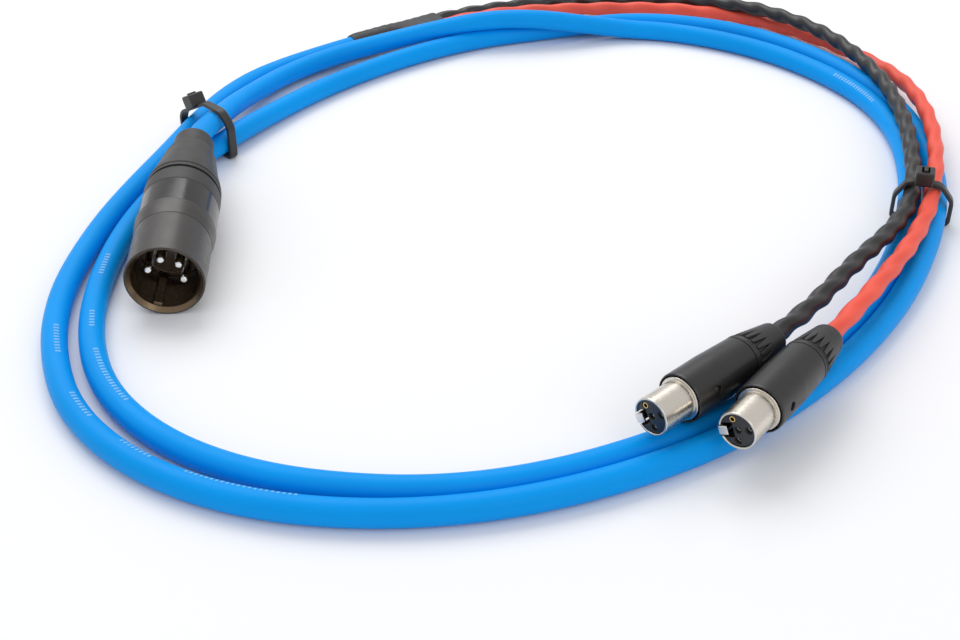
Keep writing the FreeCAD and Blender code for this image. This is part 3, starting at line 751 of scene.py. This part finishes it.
def cable_offset(z):
    """How far the blue cable's line stands from the plug's axis at local height z."""
    inverse = XLR.inverted()
    near = [inverse @ p for p in blue_line[:CABLE_IN_BOOT]]
    for a, b in zip(near, near[1:]):
        if a.z <= z <= b.z:
            return a.lerp(b, (z - a.z) / (b.z - a.z)).xy
    return Vector((0, 0))


CONE_START = 39.9
NECK_TOP = 57.5  # where the cone's shoulder has run out into the neck


def boot_radius(z, angle):
    """A ring with a groove, the cone with three shallow scallops, its shoulder and the neck."""
    if z < CONE_START:
        return 9.6 - 0.35 * smooth((CONE_START - z) / 0.4) * smooth((z - 39.0) / 0.4)
    cone = 9.55 - 2.75 * (z - CONE_START) / 16.6
    lobe = max(0, math.cos(3 * angle)) ** 1.5
    scallop = 0.5 * smooth((z - 41) / 8) * smooth((NECK_TOP - z) / 2) * lobe
    neck = 5.5 - 0.15 * smooth((z - NECK_TOP) / 6)
    shoulder = smooth((z - 56.1) / 1.3)
    end = quarter_round(z, XLR_BOOT_END, 1.2)
    return (cone - scallop) * (1 - shoulder) + neck * shoulder - 1.1 * end


def xlr_boot():
    """The rubber boot; its neck leans with the cable, and its bore is open a little way in."""
    around = 120
    heights = [37.9 + 0.2 * k for k in range(14)] + [40.7 + 0.45 * k for k in range(34)]
    heights += [56.0 + 0.15 * k for k in range(10)] + [NECK_TOP + 0.45 * k for k in range(14)]
    heights += [63.7 + 0.13 * k for k in range(10)] + [XLR_BOOT_END]
    rings = []
    for z in heights:
        middle = cable_offset(z) * smooth((z - 50) / 12)
        rings.append(ring(lambda angle: boot_radius(z, angle), z, around, middle))
    for z, bore in ((XLR_BOOT_END, 3.5), (62.0, 3.05)):
        rings.append(ring(lambda angle: bore, z, around, cable_offset(z)))
    return stack("xlr_boot_body", rings, XLR, 50)


boot = xlr_boot()
finish_piece(boot, "cable", RUBBER, ["xlr_boot"])


# ---- 4-pin mini-XLR female plugs ----
FLUTES = 18
FLUTE_DEEP = 0.6
FLUTE_LONG = 5.4
GOLD_CONTACT = 2  # the contact that shows gold and stands further forward


def mini_boot_radius(z, angle):
    """A ring, a groove, then a cone with V-shaped flutes that close towards the cable."""
    if z < 30.0:
        return 5.25 - 0.12 * smooth((0.25 - abs(z - 29.45)) / 0.12)
    if z < 30.5:
        return 4.85
    cone = 5.12 - 1.42 * (z - 30.5) / 9.7
    share = max(0, 1 - (z - 30.6) / FLUTE_LONG)  # 1 where the flutes start, 0 where they close
    across = abs(((angle * FLUTES / (2 * math.pi)) % 1) - 0.5)
    flute = FLUTE_DEEP * smooth((0.33 * share - across) / 0.12) * min(1, share * 1.8)
    return cone - flute - 0.6 * quarter_round(z, MINI_BOOT_END, 1.0)


def mini_boot(name, place):
    """The fluted rubber boot, its bore open a little way in."""
    around = FLUTES * 20
    heights = [28.72 + 0.12 * k for k in range(15)] + [30.5, 30.56, 30.62]
    heights += [30.7 + 0.15 * k for k in range(38)] + [36.5 + 0.5 * k for k in range(7)]
    heights += [40.0 + 0.2 * k for k in range(5)] + [MINI_BOOT_END]
    rings = [ring(lambda angle: mini_boot_radius(z, angle), z, around) for z in heights]
    for z, bore in ((MINI_BOOT_END, 2.35), (37.0, 2.3)):
        rings.append(ring(lambda angle: bore, z, around))
    return stack(name, rings, place, 45)


def mini(side, screw_angle, screw_z):
    """One plug with its latch; gives back the pieces that its leg's end stands in."""
    place = MINI[side]

    def put(piece, body, material, label):
        """Finishes a piece of this side's plug."""
        finish_piece(piece, body, material, [f"{side}_{label}"])
        weighted(piece)

    nose = lathe(f"{side}_nose_sleeve", [
        (3.75, 0.02, 0.22), (4.25, 0.0, 0.22), (4.25, 8.8, 0.12), (4.9, 8.8, 0.25), (4.9, 10.4, 0.1),
        (4.25, 10.4, 0.1), (4.25, 20, 0.1), (3.75, 20, 0.1),
    ], place, 128)
    carve(
        nose,
        rounded_box("slot", (2, 7), (-1.3, 1.3), (-1, 21), 0.05, place),
        rounded_box("window", (2, 7), MINI_WINDOW_WIDE, MINI_WINDOW_LONG, 0.2, place),
    )
    put(nose, "cable", NICKEL, "nose")

    ring_x, ring_y = polar(MINI_CONTACT_CIRCLE, 76)
    places = [(0, 0), (ring_x, ring_y), (ring_x, -ring_y), (-MINI_CONTACT_CIRCLE, 0)]
    body = lathe(f"{side}_insert_body", [
        (0, 0.35, 0), (3.7, 0.35, 0.12), (3.7, 17, 0.1), (0, 17, 0),
    ], place, 96)
    carve(body, rounded_box("keyway", (0.95, 5), (-1.7, 1.7), (-1, 18), 0.1, place))
    socket = [(0.86, 0.2), (0.84, 0.4), (0.7, 0.55), (0.7, 18)]
    for x, y in places:
        carve(body, drill("socket", place, socket, x, y))
    put(body, "cable", INSULATOR, "insert")
    for number, (x, y) in enumerate(places, 1):
        start, material, slot = 1.3, SILVER, "contact_silver"
        if number == GOLD_CONTACT:
            start, material, slot = 0.4, GOLD, "contact_gold"
        contact = lathe(f"{side}_socket_{number}", [
            (0.45, start, 0.06), (0.68, start, 0.06), (0.68, 20, 0.05), (0.45, 20, 0.05),
        ], place @ Matrix.Translation((x, y, 0)), 32, 3)
        put(contact, "cable", material, f"contact_{number}")

    barrel = lathe(f"{side}_barrel_body", [
        (5.2, 9.02, 0.12), (5.5, 9.02, 0.22), (5.6, 9.5, 0.3), (5.6, 19, 6), (5.25, 28.6, 0.18),
        (4.3, 28.6, 0.1), (4.3, 10.5, 0.1), (5.2, 10.5, 0.1),
    ], place, 128)
    at = radial_place(place, screw_angle, screw_z)
    carve(
        barrel,
        rounded_box("window", (3, 8), MINI_WINDOW_WIDE, MINI_WINDOW_LONG, 0.3, place),
        drill("screw_hole", at, [(0.95, 4.75), (0.95, 5.4), (1.12, 5.75)]),
    )
    put(barrel, "cable", BARREL, "barrel")
    screw = lathe(f"{side}_screw_head", [
        (0, 4.7, 0), (0.88, 4.7, 0.05), (0.88, 4.95, 0.2), (0.3, 5.2, 0.5), (0, 5.2, 0),
    ], at, 40)
    carve(screw, rounded_box("driver_slot", (-0.7, 0.7), (-0.12, 0.12), (4.98, 6), 0.03, at))
    put(screw, "cable", STEEL, "screw")

    latch = rounded_box(f"{side}_latch_spring", (3.6, 4.05), (-1.0, 1.0), (0.0, 25), 0.08, place)
    weld(
        latch,
        rounded_box("tab", (2.2, 4.3), (-1.0, 1.0), (0.0, 0.55), 0.12, place),
        rounded_box("hook", (3.7, 4.3), (-0.98, 0.98), (1.5, 3.2), 0.15, place),
        rounded_box("post", (3.8, 4.7), (-0.97, 0.97), (11.85, 15.55), 0.1, place),
        rounded_box("button", (4.5, 6.3), (-1.5, 1.5), (11.8, 15.6), 0.45, place),
    )
    put(latch, f"{side}_latch", LATCH, "latch")
    rear = mini_boot(f"{side}_strain_boot", place)
    put(rear, "cable", MINI_RUBBER, "boot")
    return [nose, body, barrel, screw, rear]


left_plug = mini("left", -168, 15.0)
right_plug = mini("right", -166, 13.2)


# ---- print on the cable's jacket: rows of plain ticks in place of a legend ----
TICK_LONG = 0.6  # along the cable
TICK_GAP = 0.6
TICK_WIDE = 1.2  # round the cable
TICK_POINTS = 5  # across each tick, both ways
PRINT_RADIUS = BLUE_RADIUS + 0.025
PRINT_STEP = 0.3
print_line = resample(blue_line, PRINT_STEP)
print_length = length_of(print_line)
print_ways = [way for _, _, way in carried_axes(print_line)]


def ticks(name, first, last, lean):
    """Short marks on the jacket from one share of the cable's length to another."""
    points = []
    faces = []
    position = first * print_length
    while position < last * print_length:
        base = len(points)
        for i in range(TICK_POINTS):
            along = position + TICK_LONG * i / (TICK_POINTS - 1)
            n = min(len(print_line) - 1, round(along / PRINT_STEP))
            way = print_ways[n]
            up = (UP - way * UP.dot(way)).normalized()
            across = way.cross(up)
            for j in range(TICK_POINTS):
                angle = lean + (j / (TICK_POINTS - 1) - 0.5) * TICK_WIDE / BLUE_RADIUS
                out = up * math.cos(angle) + across * math.sin(angle)
                points.append(print_line[n] + out * PRINT_RADIUS)
        for i in range(TICK_POINTS - 1):
            for j in range(TICK_POINTS - 1):
                k = base + i * TICK_POINTS + j
                faces.append((k, k + 1, k + TICK_POINTS + 1, k + TICK_POINTS))
        position += TICK_LONG + TICK_GAP
    piece = mesh_object(name, points, faces, sharp=80)
    finish_piece(piece, "cable", INK)


# Each row: from and to as shares of the cable's length, and the angle from the cable's top.
PRINT_ROWS = [
    (0.1790, 0.1925, 0.5), (0.3900, 0.4040, 0.2), (0.4100, 0.4145, 0.15), (0.4245, 0.4305, 0.15),
    (0.8180, 0.8336, 0.45), (0.8395, 0.8450, 0.42), (0.8525, 0.8590, 0.3), (0.8695, 0.8770, 0.3),
]
for number, (first, last, lean) in enumerate(PRINT_ROWS, 1):
    ticks(f"print_row_{number}", first, last, lean)

# ---- CAD nodes that stay: the parts hidden inside the plugs ----
for name in ("xlr_chuck", "left_clamp", "right_clamp"):
    item = frame["nodes"][name]
    item.data.materials.clear()
    item.data.materials.append(INSULATOR)

# ---- floor, light and camera ----
FLOOR_HALF = 4000
FLOOR_Z = -0.02
PAPER = make_material("white_paper", (0.87, 0.87, 0.875), 0.85, specular=0.1, tint=0.004,
                      tint_scale=6, grain=0.0)
floor = mesh_object("floor", [
    (-FLOOR_HALF, -FLOOR_HALF, FLOOR_Z), (FLOOR_HALF, -FLOOR_HALF, FLOOR_Z),
    (FLOOR_HALF, FLOOR_HALF, FLOOR_Z), (-FLOOR_HALF, FLOOR_HALF, FLOOR_Z),
], [(0, 1, 2, 3)])
floor.data.materials.append(PAPER)


def area_light(name, location, size, power, colour=(1, 1, 1)):
    """A soft light in metres and watts, aimed at the middle of the object."""
    data = bpy.data.lights.new(name, "AREA")
    data.shape = "RECTANGLE"
    data.size, data.size_y = size
    data.energy = power
    data.color = colour
    light = bpy.data.objects.new(name, data)
    light.location = location
    light.rotation_euler = (-Vector(location)).to_track_quat("-Z", "Y").to_euler()
    scene.collection.objects.link(light)


area_light("key_above", (-0.35, 0.75, 1.15), (1.3, 0.9), 11.2)
area_light("fill_front", (0.7, -0.9, 0.9), (0.8, 0.8), 2.5, (0.95, 0.97, 1.0))

world = bpy.data.worlds.new("studio")
scene.world = world
world.use_nodes = True
background = world.node_tree.nodes["Background"]
background.inputs["Color"].default_value = (0.97, 0.975, 1.0, 1)
background.inputs["Strength"].default_value = 0.76

camera_data = bpy.data.cameras.new("camera")
camera_data.sensor_width = 36
camera_data.lens = 53.506
camera_data.clip_start = 0.01
camera = bpy.data.objects.new("camera", camera_data)
camera.location = (-0.0140, -0.34032, 0.18867)
camera.rotation_euler = (math.radians(56), 0, 0)
scene.collection.objects.link(camera)
scene.camera = camera
scene.view_settings.view_transform = "Standard"
